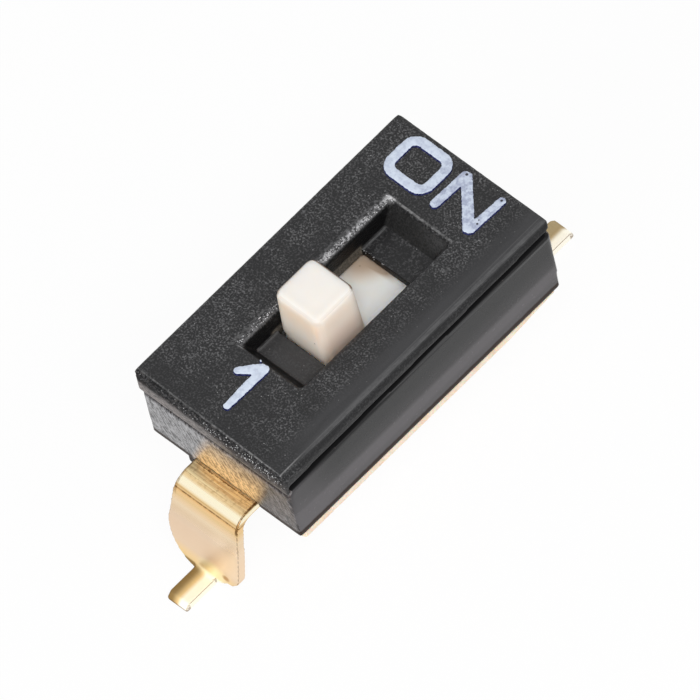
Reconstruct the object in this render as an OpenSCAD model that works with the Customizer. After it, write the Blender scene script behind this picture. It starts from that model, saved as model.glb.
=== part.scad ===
// Single-position surface-mount slide switch with gull-wing feet.
// X is the housing's width, Y its length (the ON end is +Y) and Z is up from the board.
// The origin is on the board, under the middle of the housing.

/* [Housing] */
// Length of the housing at its top face
housing_l = 6.55; // [6.2:0.01:7.6]
// Width of the housing at its top face
housing_w = 3.50; // [3.4:0.01:4.2]
// Height of the base's underside above the board
standoff = 1.85; // [1.5:0.05:2.4]
// Height of the base's long walls at their middle
base_h = 1.48; // [1.4:0.01:1.8]
// Groove left open between the cover's skirt and the base's long walls
parting_gap = 0.17; // [0.08:0.01:0.24]
// Height of the cover's skirt at the middle of the long sides
skirt_h = 0.28; // [0.26:0.01:0.4]
// How much the groove rises from the front end to the rear end
parting_rise = 0.17; // [0:0.01:0.2]
// Height of the cover's end walls
end_h = 0.58; // [0.54:0.01:0.62]
// Thickness of the lip that closes the groove at the front end
end_lip_t = 0.09; // [0.06:0.01:0.12]
// Seam between the cover's and the base's end walls
end_seam = 0.04; // [0.02:0.01:0.08]
// How much each long side leans in from top to bottom
side_draft = 0.02; // [0:0.01:0.06]
// How much each end leans in from top to bottom
end_draft = 0.09; // [0:0.01:0.12]
// Radius of the long top edge on the +X side
long_edge_r = 0.18; // [0.05:0.01:0.2]
// Radius of the long top edge on the -X side
back_edge_r = 0.05; // [0.03:0.01:0.2]
// Radius of the end top edges
end_edge_r = 0.06; // [0.03:0.01:0.12]
// Radius of the cover's upright corners
corner_r = 0.09; // [0.03:0.01:0.15]
// Radius of the base's upright corners on the +X side
base_corner_r = 0.14; // [0.03:0.01:0.18]
// Radius of the base's upright corners on the -X side
base_back_r = 0.26; // [0.03:0.01:0.28]
// Radius of the bottom edges
bottom_edge_r = 0.04; // [0.02:0.01:0.1]
// Thickness of the base's long walls at the mouth
side_wall = 0.20; // [0.16:0.01:0.26]
// Thickness of the base's end walls at the mouth
end_wall = 0.30; // [0.26:0.01:0.36]
// Thickness of the base's floor under the contact pads
floor_t = 0.39; // [0.3:0.01:0.42]
// Depth of the resin well in the base's underside
resin_well = 0.12; // [0.1:0.01:0.2]
// Width of the rim round the resin well
resin_rim = 0.30; // [0.22:0.01:0.36]
// Clearance between parts that are pressed or dropped together
fit_gap = 0.02; // [0.01:0.005:0.03]

/* [Well and slot] */
// Width of the well in the cover
well_w = 1.33; // [1.3:0.02:1.5]
// Length of the well at the top face
well_l = 3.72; // [3.5:0.02:3.8]
// Depth of the well
well_depth = 0.48; // [0.4:0.01:0.52]
// How far each end of the well slopes in on its way down
well_slope = 0.28; // [0.1:0.01:0.3]
// Radius of the well's long top edges
well_edge_r = 0.12; // [0.05:0.01:0.16]
// Place of the well's middle across the housing
well_x = 0.03; // [0:0.005:0.05]
// Place of the well's middle along the housing
well_y = 0.08; // [0:0.01:0.12]
// Thickness of the web that the slot is cut in
web_t = 0.18; // [0.14:0.01:0.22]
// Ledge left at each side of the slot
slot_ledge = 0.01; // [0.01:0.01:0.05]
// Place of the slot's middle along the housing
slot_y = 0.06; // [0:0.01:0.1]

/* [Slider] */
// Width of the knob at its top
knob_w = 0.97; // [0.8:0.01:1.0]
// Length of the knob at its top
knob_l = 0.96; // [0.86:0.01:1.06]
// Height of the knob above the cover
knob_rise = 0.60; // [0.4:0.02:0.8]
// How far the knob stands off the slot's middle line towards -X
knob_shift = 0.075; // [0:0.005:0.08]
// How much each side of the knob spreads from top to bottom
knob_side_flare = 0.05; // [0:0.01:0.12]
// How much each end of the knob spreads from top to bottom
knob_end_flare = 0.04; // [0:0.01:0.06]
// Radius of the knob's upright corners
knob_corner_r = 0.14; // [0.1:0.01:0.2]
// Radius of the knob's top edges
knob_top_r = 0.08; // [0.04:0.01:0.09]
// Distance that the slider travels
travel = 0.96; // [0.8:0.02:1.1]
// Clearance between the knob and the slot's end at each limit
knob_end_gap = 0.02; // [0.01:0.005:0.04]
// Width of the plate under the web
plate_w = 1.90; // [1.7:0.05:2]
// Length of the plate
plate_l = 3.24; // [3.16:0.02:3.4]
// Thickness of the plate
plate_t = 0.30; // [0.24:0.01:0.34]
// Running clearance all round the plate
slide_gap = 0.03; // [0.02:0.005:0.05]
// Width of each rail that carries the plate
rail_w = 0.15; // [0.1:0.01:0.2]
// Radius of the peg that holds the moving contact
peg_r = 0.20; // [0.14:0.01:0.24]
// How far the peg's staked head stands out round the peg
peg_flange = 0.07; // [0.04:0.01:0.1]
// Thickness of the peg's staked head
peg_head = 0.05; // [0.03:0.01:0.08]

/* [Contacts and terminals] */
// Thickness of the terminals' sheet
sheet_t = 0.17; // [0.14:0.01:0.2]
// Width of the terminals inside the housing and at its wall
stub_w = 1.44; // [1.2:0.02:1.5]
// Depth of the notch in the end wall that the terminal leaves through
notch_depth = 0.10; // [0.04:0.01:0.12]
// Flat length of the terminal between the wall and its bend
stub_out = 0.18; // [0.1:0.01:0.3]
// Inside radius of the upper bend
upper_bend_r = 0.23; // [0.15:0.01:0.3]
// Lean of the front blade from upright, in degrees
front_lean = 10.8; // [2:0.2:16]
// Lean of the rear blade from upright, in degrees
rear_lean = 3; // [2:0.2:16]
// Radius of the blade's round shoulders
shoulder_r = 0.82; // [0.78:0.01:0.9]
// Height of the shoulders' lowest point above the board
shoulder_low = 0.04; // [0:0.01:0.1]
// Radius of the blade's fuller lower corner
blade_corner_r = 0.26; // [0.2:0.01:0.3]
// Height of that corner's centre below the shoulders' centre
corner_drop = 0.34; // [0.26:0.01:0.42]
// Shift of the shoulders' centre towards -X on the front terminal
shoulder_shift = 0.05; // [0:0.01:0.08]
// Inside radius of the bend at the foot
foot_bend_r = 0.12; // [0.06:0.01:0.2]
// Width of the feet
foot_w = 0.46; // [0.36:0.02:0.6]
// Distance between the tips of the two feet
feet_span = 9.53; // [9.3:0.01:10]
// Radius of the fillets between a blade and its foot
neck_r = 0.12; // [0.06:0.01:0.16]
// Length of the bevel at the tip of a foot
tip_bevel = 0.09; // [0.05:0.01:0.12]
// Distance from the middle of the housing to the terminals' risers
riser_y = 2.30; // [2.26:0.01:2.4]
// Inner end of the front contact pad, measured from the housing's middle
front_pad_y = -0.10; // [-0.14:0.01:-0.06]
// Inner end of the rear contact pad, measured from the housing's middle
rear_pad_y = 0.85; // [0.7:0.01:1]
// Width of the moving contact
contact_w = 0.90; // [0.7:0.02:1]
// Thickness of the moving contact
contact_t = 0.08; // [0.06:0.005:0.09]
// Distance between the moving contact's two tips
contact_span = 1.60; // [1.5:0.02:1.7]
// Length of the moving contact's flat middle
contact_flat = 0.76; // [0.66:0.02:0.84]
// Radius of the moving contact's rolled tips
tip_r = 0.08; // [0.06:0.005:0.09]
// Clearance between the tips and the pads
tip_gap = 0.01; // [0.005:0.005:0.02]
// Width of the locating lug beside each terminal
lug_w = 0.20; // [0.1:0.02:0.3]
// Height of the locating lug below the base
lug_h = 0.26; // [0.15:0.01:0.35]
// Thickness of the locating lug along the housing
lug_t = 0.16; // [0.1:0.01:0.25]
// Thickness of the resin skin under the rim
resin_skin_t = 0.14; // [0.06:0.01:0.16]
// Distance of the resin skin from the foot of the base's long walls
resin_inset = 0.015; // [0:0.005:0.03]
// Length over which the resin skin thins out towards the rear
resin_taper_l = 1.20; // [0.8:0.05:2]
// Thickness of the resin skin at the rear end
resin_rear_t = 0.02; // [0.01:0.01:0.06]

/* [Print] */
// Width of a printed stroke
stroke_w = 0.17; // [0.1:0.01:0.2]
// Thickness of the ink
ink_t = 0.012; // [0.01:0.002:0.03]
// Height of the O
letter_h = 0.94; // [0.7:0.02:1]
// Width of the O
letter_w = 1.05; // [0.8:0.01:1.1]
// Outer corner radius of the O
letter_corner_r = 0.30; // [0.22:0.01:0.36]
// Length of the N's stems
stem_l = 0.73; // [0.6:0.01:0.8]
// Distance between the N's stems
stem_gap = 0.835; // [0.6:0.005:0.9]
// Slant of the stems: how far their tops lean to +X
stem_slant = 0.02; // [0:0.01:0.08]
// Space between the O and the N
letter_gap = 0.14; // [0.1:0.01:0.3]
// Shift of that space from the housing's middle towards -X
word_shift = 0.16; // [0.1:0.01:0.3]
// Distance from the housing's end to the top of the letters
word_margin = 0.09; // [0.07:0.01:0.2]
// Length of the stem of the figure 1
figure_h = 0.91; // [0.7:0.01:1.1]
// Width that its flag covers
flag_w = 0.34; // [0.2:0.01:0.4]
// Height that its flag covers
flag_h = 0.29; // [0.2:0.01:0.4]
// Distance from the well's end to the top of the figure's stem
figure_gap = 0.08; // [0.06:0.01:0.2]

/* [Hidden] */
eps = 0.01;
arc_steps = 12;

cover_top = standoff + base_h + parting_gap + skirt_h;
end_wall_top = cover_top - end_h - end_seam;
spigot_w = housing_w - 2 * (side_wall + fit_gap);
spigot_l = housing_l - 2 * (end_wall + fit_gap);
web_bottom = cover_top - well_depth - web_t;
slot_w = well_w - 2 * slot_ledge;
slot_l = knob_l + 2 * knob_end_flare + travel + 2 * knob_end_gap;
knob_y = slot_y - travel / 2;
plate_top = web_bottom - slide_gap;
plate_bottom = plate_top - plate_t;
shelf_z = plate_bottom - slide_gap;
floor_z = standoff + resin_well + floor_t;
pad_top = floor_z + sheet_t;
stub_top = standoff + notch_depth;
end_y = housing_l / 2 - end_draft;
bend_outer_r = upper_bend_r + sheet_t;
bend_y = end_y + stub_out;
bend_z = stub_top - bend_outer_r;
foot_bend_z = sheet_t + foot_bend_r;
foot_tip_y = feet_span / 2;
shoulder_z = shoulder_low + shoulder_r;
leaf_bottom = plate_bottom - contact_t;

// Points of an arc about c, from angle a0 to angle a1
function arc(c, r, a0, a1) =
    [for (i = [0:arc_steps]) c + r * [cos(a0 + (a1 - a0) * i / arc_steps),
                                      sin(a0 + (a1 - a0) * i / arc_steps)]];

// Rectangle about the origin with corners of radius r on the +X side and back_r on the -X side
function round_rect(w, l, r, back_r) = concat(
    arc([w / 2 - r, l / 2 - r], r, 0, 90),
    arc([-w / 2 + back_r, l / 2 - back_r], back_r, 90, 180),
    arc([-w / 2 + back_r, -l / 2 + back_r], back_r, 180, 270),
    arc([w / 2 - r, -l / 2 + r], r, 270, 360));

// Upright outline between z0 and z1 with half-widths h0 and h1: bottom corners r0,
// top corners r1 and r2
function wall_outline(h0, h1, z0, z1, r0, r1, r2) = concat(
    arc([h1 - r1, z1 - r1], r1, 0, 90),
    arc([-h1 + r2, z1 - r2], r2, 90, 180),
    arc([-h0 + r0, z0 + r0], r0, 180, 270),
    arc([h0 - r0, z0 + r0], r0, 270, 360));

// Block centred in X and Y between two heights
module slab(w, l, z0, z1) {
    translate([-w / 2, -l / 2, z0]) cube([w, l, z1 - z0]);
}

// Pull a drawing of X and Z along Y, or of Y and Z along X
module along_y(l) {
    translate([0, l / 2, 0]) rotate([90, 0, 0]) linear_extrude(l) children();
}

module along_x(w) {
    translate([-w / 2, 0, 0]) rotate([90, 0, 90]) linear_extrude(w) children();
}

// Height of the groove's upper side at a place along the housing
function groove_z(y) = cover_top - skirt_h + parting_rise * y / housing_l;

// Outer form of the whole housing: drafted walls and softened edges
module envelope(upright_r, back_r) {
    intersection() {
        along_y(housing_l)
            polygon(wall_outline(housing_w / 2 - side_draft, housing_w / 2, standoff, cover_top,
                                 bottom_edge_r, long_edge_r, back_edge_r));
        along_x(housing_w)
            polygon(wall_outline(end_y, housing_l / 2, standoff, cover_top,
                                 bottom_edge_r, end_edge_r, end_edge_r));
        translate([0, 0, standoff])
            linear_extrude(cover_top - standoff)
                polygon(round_rect(housing_w, housing_l, upright_r, back_r));
    }
}

// Hollow of the well: flared long edges and sloping ends
module well() {
    half = well_w / 2;
    lip = well_edge_r;
    floor = cover_top - well_depth;
    intersection() {
        translate([well_x, well_y, 0]) along_y(well_l)
            polygon(concat(
                [[-half, floor], [half, floor]],
                arc([half + lip, cover_top - lip], lip, 180, 90),
                [[half + lip, cover_top + eps], [-half - lip, cover_top + eps]],
                arc([-half - lip, cover_top - lip], lip, 90, 0)));
        translate([well_x, well_y, 0]) along_x(well_w + 3 * lip)
            polygon([[-well_l / 2 + well_slope, floor], [well_l / 2 - well_slope, floor],
                     [well_l / 2, cover_top], [well_l / 2, cover_top + eps],
                     [-well_l / 2, cover_top + eps], [-well_l / 2, cover_top]]);
    }
}

module cover() {
    past = housing_l / 2 + 1;
    color("#2c2c2e") difference() {
        union() {
            intersection() {
                envelope(corner_r, corner_r);
                union() {
                    along_x(housing_w + 1)
                        polygon([[-past, groove_z(-past)], [past, groove_z(past)],
                                 [past, cover_top + 1], [-past, cover_top + 1]]);
                    slab(spigot_w, housing_l + 1, cover_top - end_h, cover_top);
                    translate([0, (end_lip_t - housing_l) / 2, 0])
                        slab(housing_w + 1, end_lip_t, cover_top - end_h, cover_top);
                }
            }
            slab(spigot_w, spigot_l, shelf_z, cover_top - eps);
        }
        well();
        translate([well_x, slot_y, 0]) slab(slot_w, slot_l, web_bottom - eps, cover_top);
        translate([0, slot_y, 0])
            slab(plate_w + 2 * slide_gap, plate_l + travel + 2 * slide_gap, shelf_z - eps, web_bottom);
    }
}

// Slot and channel that the front terminal is moulded into
module terminal_way() {
    w = stub_w + 2 * fit_gap;
    translate([-w / 2, -riser_y - sheet_t - fit_gap, standoff - eps])
        cube([w, sheet_t + 2 * fit_gap, floor_z - standoff + 2 * eps]);
    translate([-w / 2, -housing_l / 2, standoff - eps])
        cube([w, housing_l / 2 - riser_y, notch_depth + fit_gap + eps]);
}

// Lug that stands below the base beside the front terminal, grown by a clearance where resin meets it
module lug(grow = 0) {
    translate([-stub_w / 2 - 2 * fit_gap - lug_w - grow, bottom_edge_r - end_y - grow, standoff - lug_h])
        cube([lug_w + 2 * grow, lug_t + 2 * grow, lug_h + bottom_edge_r]);
}

module base() {
    past = housing_l / 2 + 1;
    front = housing_l / 2 - end_lip_t - fit_gap;
    color("#3a3a3c") union() {
        difference() {
            intersection() {
                envelope(base_corner_r, base_back_r);
                union() {
                    slab(housing_w + 1, housing_l + 1, standoff, end_wall_top);
                    for (side = [-1, 1])
                        translate([side * (housing_w - side_wall) / 2, 0, 0]) along_x(side_wall)
                            polygon([[-front, standoff], [past, standoff],
                                     [past, groove_z(past) - parting_gap],
                                     [-front, groove_z(-front) - parting_gap]]);
                }
            }
            slab(housing_w - 2 * side_wall, housing_l - 2 * end_wall, shelf_z, cover_top);
            slab(plate_w - 2 * rail_w, 2 * (riser_y + sheet_t + fit_gap), floor_z, cover_top);
            slab(housing_w - 2 * resin_rim, 2 * (end_y - resin_rim), standoff - eps,
                 standoff + resin_well);
            for (turn = [0, 180]) rotate(turn) terminal_way();
        }
        for (turn = [0, 180]) rotate(turn) lug();
    }
}

// Thin slice of the knob, grown at its sides and ends
module knob_slice(z, side, end) {
    upright_r = knob_corner_r + min(side, end);
    translate([-knob_shift, 0, z]) linear_extrude(eps)
        polygon(round_rect(knob_w + 2 * side, knob_l + 2 * end, upright_r, upright_r));
}

// Knob, plate and peg are one moulding
module slider() {
    top = cover_top + knob_rise;
    color("#f4efe4") translate([0, knob_y, 0]) union() {
        hull() {
            knob_slice(plate_bottom, knob_side_flare, knob_end_flare);
            for (a = [0:22.5:90])
                knob_slice(top - eps - knob_top_r * (1 - sin(a)), -knob_top_r * (1 - cos(a)),
                           -knob_top_r * (1 - cos(a)));
        }
        slab(plate_w, plate_l, plate_bottom, plate_top);
        translate([0, 0, leaf_bottom - eps]) cylinder(r = peg_r, h = contact_t + 2 * eps, $fn = 48);
        translate([0, 0, leaf_bottom - peg_head]) cylinder(r = peg_r + peg_flange, h = peg_head, $fn = 48);
    }
}

// Leaf on the slider's peg, with an arm and a rolled tip to each side
module moving_contact() {
    tip_z = pad_top + tip_gap + tip_r;
    tip_y = contact_span / 2;
    root_y = contact_flat / 2;
    color("#d9b25f") translate([0, knob_y, 0]) difference() {
        along_x(contact_w) {
            polygon([[-root_y, leaf_bottom], [root_y, leaf_bottom],
                     [tip_y, tip_z - tip_r / 2], [tip_y, tip_z + tip_r / 2],
                     [root_y, plate_bottom], [-root_y, plate_bottom],
                     [-tip_y, tip_z + tip_r / 2], [-tip_y, tip_z - tip_r / 2]]);
            for (side = [-1, 1]) translate([side * tip_y, tip_z]) circle(r = tip_r, $fn = 32);
        }
        translate([0, 0, leaf_bottom - eps])
            cylinder(r = peg_r + fit_gap, h = contact_t + 2 * eps, $fn = 48);
    }
}

// Place of the foot bend's centre, outwards from the housing's middle
function foot_bend_y(lean) =
    bend_y + (bend_outer_r + foot_bend_r + (bend_z - foot_bend_z) * sin(lean)) / cos(lean);

// Side view of a terminal: pad, riser, stub, bend, blade, bend and foot.
// The first coordinate is the distance outwards from the housing's middle.
function terminal_profile(pad_in, lean) = concat(
    [[pad_in, floor_z], [riser_y, floor_z]],
    arc([riser_y + sheet_t, stub_top], sheet_t, 180, 270),
    arc([bend_y, bend_z], upper_bend_r, 90, lean),
    arc([foot_bend_y(lean), foot_bend_z], foot_bend_r + sheet_t, 180 + lean, 270),
    [[foot_tip_y, 0], [foot_tip_y, sheet_t / 2], [foot_tip_y - tip_bevel, sheet_t]],
    arc([foot_bend_y(lean), foot_bend_z], foot_bend_r, 270, 180 + lean),
    arc([bend_y, bend_z], bend_outer_r, lean, 90),
    [[riser_y + sheet_t, stub_top]],
    arc([riser_y, floor_z], sheet_t, 0, 90),
    [[pad_in, pad_top]]);

// Side view of the blade by itself, straight down from the upper bend
function blade_profile(lean) = let (
    run = (bend_z + bend_outer_r * sin(lean)) / cos(lean),
    down = [sin(lean), -cos(lean)],
    inner = [bend_y, bend_z] + upper_bend_r * [cos(lean), sin(lean)],
    outer = [bend_y, bend_z] + bend_outer_r * [cos(lean), sin(lean)])
    [inner, inner + run * down, outer + run * down, outer];

// Front view of the blade: sides that spread to round shoulders
module blade_outline() {
    corner_x = shoulder_r - shoulder_shift - blade_corner_r;
    corner_z = shoulder_z - corner_drop;
    translate([-shoulder_shift, shoulder_z]) circle(r = shoulder_r, $fn = 96);
    translate([corner_x, corner_z]) circle(r = blade_corner_r, $fn = 48);
    polygon([[-stub_w / 2, stub_top + eps], [stub_w / 2, stub_top + eps],
             [shoulder_r - shoulder_shift, shoulder_z],
             [corner_x + blade_corner_r, corner_z],
             [-shoulder_shift, corner_z],
             [-shoulder_r - shoulder_shift, shoulder_z]]);
}

// Front view of the strip that bends out of the blade and becomes the foot
module foot_outline() {
    half = foot_w / 2;
    neck_z = foot_bend_z + foot_bend_r;
    polygon(concat(
        [[half, -eps]], arc([half + neck_r, neck_z], neck_r, 180, 90),
        arc([-half - neck_r, neck_z], neck_r, 90, 0), [[-half, -eps]]));
}

// A terminal with its outward direction along +Y
module terminal(pad_in, lean) {
    intersection() {
        along_x(4 * shoulder_r) polygon(terminal_profile(pad_in, lean));
        union() {
            translate([-stub_w / 2, pad_in - 1, 0]) cube([stub_w, bend_y - pad_in + 1, pad_top + 1]);
            translate([0, bend_y - eps, 0]) rotate([90, 0, 180]) linear_extrude(feet_span / 2) {
                intersection() {
                    blade_outline();
                    translate([-2 * shoulder_r, shoulder_z]) square([4 * shoulder_r, stub_top]);
                }
                foot_outline();
            }
        }
    }
    intersection() {
        along_x(4 * shoulder_r) polygon(blade_profile(lean));
        translate([0, bend_y - eps, 0]) rotate([90, 0, 180]) linear_extrude(feet_span / 2)
            blade_outline();
    }
}

module front_terminal() {
    color("#e0bd72") rotate(180) terminal(-front_pad_y, front_lean);
}

module rear_terminal() {
    color("#e0bd72") terminal(rear_pad_y, rear_lean);
}

// Resin that fills the well under the base and wets the rim
module resin_seal() {
    skin_l = end_y - end_draft;
    color("#efdcc4") difference() {
        union() {
            slab(housing_w - 2 * (resin_rim + fit_gap / 2), 2 * (end_y - resin_rim - fit_gap / 2),
                 standoff - resin_rear_t, standoff + resin_well);
            intersection() {
                along_x(housing_w - 2 * (side_draft + resin_inset))
                    polygon([[-skin_l, standoff], [skin_l, standoff], [skin_l, standoff - resin_rear_t],
                             [skin_l - resin_taper_l, standoff - resin_skin_t],
                             [-skin_l, standoff - resin_skin_t]]);
                translate([0, 0, standoff - 1])
                    linear_extrude(1)
                        polygon(round_rect(housing_w, 2 * skin_l, base_corner_r, base_back_r));
            }
        }
        for (turn = [0, 180]) rotate(turn) {
            translate([-stub_w / 2 - fit_gap, -housing_l / 2, standoff - 1])
                cube([stub_w + 2 * fit_gap, housing_l / 2 - riser_y + fit_gap, 2]);
            lug(fit_gap);
        }
    }
}

// Straight pen stroke with round ends
module stroke(p, q) {
    run = q - p;
    translate(p) circle(d = stroke_w, $fn = 24);
    translate(q) circle(d = stroke_w, $fn = 24);
    translate(p) rotate(atan2(run[1], run[0])) translate([0, -stroke_w / 2])
        square([norm(run), stroke_w]);
}

module on_print() {
    letters_y = housing_l / 2 - word_margin - letter_h / 2;
    o_x = -word_shift - (letter_gap + letter_w) / 2;
    left = -word_shift + letter_gap / 2 + stroke_w / 2;
    right = left + stem_gap;
    half = stem_l / 2;
    color("#dfe4f2") translate([0, letters_y, cover_top]) linear_extrude(ink_t) {
        translate([o_x, 0]) difference() {
            polygon(round_rect(letter_w, letter_h, letter_corner_r, letter_corner_r));
            polygon(round_rect(letter_w - 2 * stroke_w, letter_h - 2 * stroke_w,
                               letter_corner_r - stroke_w, letter_corner_r - stroke_w));
        }
        stroke([left, -half], [left + stem_slant, half]);
        stroke([left + stem_slant, half], [right, -half]);
        stroke([right, -half], [right + stem_slant, half]);
    }
}

module one_print() {
    top = well_y - well_l / 2 - figure_gap;
    color("#dfe4f2") translate([0, 0, cover_top]) linear_extrude(ink_t) {
        stroke([-flag_w, top - flag_h], [0, top]);
        stroke([0, top], [0, top - figure_h]);
    }
}

cover();
base();
slider();
moving_contact();
front_terminal();
rear_terminal();
resin_seal();
on_print();
one_print();
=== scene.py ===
import math
import bpy
import bmesh
from mathutils import Matrix, Vector


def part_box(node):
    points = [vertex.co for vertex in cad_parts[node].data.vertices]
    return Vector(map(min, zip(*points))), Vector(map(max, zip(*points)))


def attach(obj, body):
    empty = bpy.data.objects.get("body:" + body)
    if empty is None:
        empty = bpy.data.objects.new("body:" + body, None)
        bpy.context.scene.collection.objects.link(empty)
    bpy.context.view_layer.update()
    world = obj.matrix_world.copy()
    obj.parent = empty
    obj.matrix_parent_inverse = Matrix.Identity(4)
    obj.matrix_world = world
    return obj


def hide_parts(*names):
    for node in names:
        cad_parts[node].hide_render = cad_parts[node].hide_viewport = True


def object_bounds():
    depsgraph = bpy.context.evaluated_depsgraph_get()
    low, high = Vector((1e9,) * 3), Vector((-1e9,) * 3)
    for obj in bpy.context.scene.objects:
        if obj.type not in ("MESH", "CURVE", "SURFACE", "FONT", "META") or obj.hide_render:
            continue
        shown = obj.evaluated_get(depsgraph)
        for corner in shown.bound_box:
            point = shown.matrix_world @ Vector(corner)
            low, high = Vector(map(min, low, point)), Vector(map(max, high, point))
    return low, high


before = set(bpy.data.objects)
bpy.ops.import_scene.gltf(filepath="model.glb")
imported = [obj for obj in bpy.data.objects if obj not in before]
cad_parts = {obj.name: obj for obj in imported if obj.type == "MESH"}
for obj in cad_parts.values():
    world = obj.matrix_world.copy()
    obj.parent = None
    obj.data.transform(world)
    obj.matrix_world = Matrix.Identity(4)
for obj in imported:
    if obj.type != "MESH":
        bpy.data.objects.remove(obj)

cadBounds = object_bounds()
mm = 0.001
print("frame loaded:", sorted(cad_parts))


def boxMm(node):
    low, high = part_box(node)
    return Vector(low) / mm, Vector(high) / mm


coverTop = boxMm("cover")[1].z
halfLength = boxMm("cover")[1].y
knobTop = boxMm("slider")[1].z


# building node trees by short calls

def addNode(tree, kind, links=None, **values):
    # a value goes to the input of that name, or else to the node's own setting;
    # links gives, for each input, the socket that feeds it
    node = tree.nodes.new(kind)
    for key, value in values.items():
        if hasattr(node, key):
            setattr(node, key, value)
    for key, value in values.items():
        name = key.replace("_", " ")
        if not hasattr(node, key):
            node.inputs[name].default_value = value
    for key, source in (links or {}).items():
        target = node.inputs[key]
        tree.links.new(source, target)
    return node


def newGroup(name, kind, inputs, outputs):
    # inputs and outputs are (name, type, default) and (name, type)
    group = bpy.data.node_groups.new(name, kind)
    for socketName, socketType, default in inputs:
        socket = group.interface.new_socket(name=socketName, in_out="INPUT", socket_type=socketType)
        if default is not None:
            socket.default_value = default
    for socketName, socketType in outputs:
        group.interface.new_socket(name=socketName, in_out="OUTPUT", socket_type=socketType)
    start = group.nodes.new("NodeGroupInput")
    end = group.nodes.new("NodeGroupOutput")
    return group, start, end


def calc(tree, operation, first, second=None, third=None, clamp=False):
    # a Math node; each term is a number or a socket
    node = tree.nodes.new("ShaderNodeMath")
    node.operation = operation
    node.use_clamp = clamp
    for slot, term in enumerate((first, second, third)):
        if term is None:
            continue
        if isinstance(term, (int, float)):
            node.inputs[slot].default_value = term
        else:
            tree.links.new(term, node.inputs[slot])
    return node.outputs[0]


def ramp(tree, value, low, high, outLow=0.0, outHigh=1.0):
    # smooth step from outLow to outHigh while value goes from low to high
    node = tree.nodes.new("ShaderNodeMapRange")
    node.interpolation_type = "SMOOTHSTEP"
    tree.links.new(value, node.inputs["Value"])
    for name, number in (("From Min", low), ("From Max", high), ("To Min", outLow), ("To Max", outHigh)):
        node.inputs[name].default_value = number
    return node.outputs["Result"]


def noise(tree, vector, size, detail=2.0, rough=0.5, stretch=(1, 1, 1), shift=(0, 0, 0)):
    # noise whose blobs are about size across, in the unit of vector
    place = addNode(tree, "ShaderNodeVectorMath", {0: vector}, operation="MULTIPLY_ADD")
    place.inputs[1].default_value = [1 / (size * s) for s in stretch]
    place.inputs[2].default_value = shift
    node = addNode(tree, "ShaderNodeTexNoise", {"Vector": place.outputs[0]},
                   Scale=1.0, Detail=detail, Roughness=rough)
    return node.outputs[0]


def setInput(modifier, name, value):
    for item in modifier.node_group.interface.items_tree:
        if item.item_type == "SOCKET" and item.in_out == "INPUT" and item.name == name:
            modifier[item.identifier] = value
            return
    raise KeyError(name)


def withTree(obj, group, **values):
    modifier = obj.modifiers.new(group.name, "NODES")
    modifier.node_group = group
    for name, value in values.items():
        setInput(modifier, name, value)


def asPlainMesh(obj, name):
    # the evaluated result as a new object without modifiers
    mesh = bpy.data.meshes.new_from_object(obj.evaluated_get(bpy.context.evaluated_depsgraph_get()))
    mesh.name = name
    plain = bpy.data.objects.new(name, mesh)
    bpy.context.scene.collection.objects.link(plain)
    bpy.data.objects.remove(obj)
    return plain


def toMetres(obj):
    # pieces are worked in millimetres and end in metres
    obj.data.transform(Matrix.Scale(mm, 4))
    obj.data.shade_smooth()
    obj.data.update()


def finishPiece(obj, body, slot, materials, *replaced):
    toMetres(obj)
    slots = [min(face.material_index, len(materials) - 1) for face in obj.data.polygons]
    obj.data.materials.clear()
    for material in materials:
        obj.data.materials.append(material)
    obj.data.polygons.foreach_set("material_index", slots)
    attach(obj, body)
    if replaced:
        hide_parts(*replaced)
    obj.data.calc_loop_triangles()
    print(obj.name, "made:", len(obj.data.loop_triangles), "triangles")


# camera: turned to the right of the front end and rolled, angles in degrees, lengths in millimetres
cameraLook = {"azimuth": 55.07, "elevation": 56.19, "roll": -14.08, "width": 11.7, "right": -0.057,
              "up": -0.048, "distance": 100}


def cameraAxes():
    a, e, r = (math.radians(cameraLook[k]) for k in ("azimuth", "elevation", "roll"))
    back = Vector((math.sin(a) * math.cos(e), -math.cos(a) * math.cos(e), math.sin(e)))
    level = Vector((math.cos(a), math.sin(a), 0))
    up = back.cross(level)
    right = math.cos(r) * level + math.sin(r) * up
    return right, back.cross(right), back


def makeCamera():
    right, up, back = cameraAxes()
    data = bpy.data.cameras.new("camera")
    data.type = "ORTHO"
    data.ortho_scale = cameraLook["width"] * mm
    data.clip_start, data.clip_end = 0.001, 2.0
    camera = bpy.data.objects.new("camera", data)
    bpy.context.scene.collection.objects.link(camera)
    low, high = cadBounds
    aim = (Vector(low) + Vector(high)) / 2 + (right * cameraLook["right"] + up * cameraLook["up"]) * mm
    place = Matrix.Translation(aim + back * cameraLook["distance"] * mm)
    camera.matrix_world = place @ Matrix((right, up, back)).transposed().to_4x4()
    bpy.context.scene.camera = camera


makeCamera()
print("camera placed")


# light and floor: powers in watts, sizes and distances in millimetres
studio = {"sky": 0.36, "floorTone": 0.86, "floorLift": 0.94, "floorSize": 800,
          "lamps": {"frontLamp": {"power": 0.0785, "size": 60, "from": (0.48, -0.27, 0.83), "distance": 120},
                    "sideLamp": {"power": 0.0126, "size": 50, "from": (0.75, 0.25, 0.65), "distance": 110},
                    "fillLamp": {"power": 0.071, "size": 90, "from": (0.25, -0.9, 0.45), "distance": 130}}}


def areaLamp(name, look):
    data = bpy.data.lights.new(name, "AREA")
    data.shape = "DISK"
    data.energy = look["power"]
    data.size = look["size"] * mm
    lamp = bpy.data.objects.new(name, data)
    bpy.context.scene.collection.objects.link(lamp)
    away = Vector(look["from"]).normalized()
    lamp.location = away * look["distance"] * mm
    lamp.rotation_euler = away.to_track_quat("Z", "Y").to_euler()
    lamp.visible_glossy = name != "frontLamp"          # metal mirrors the white surroundings, not this lamp


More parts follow.
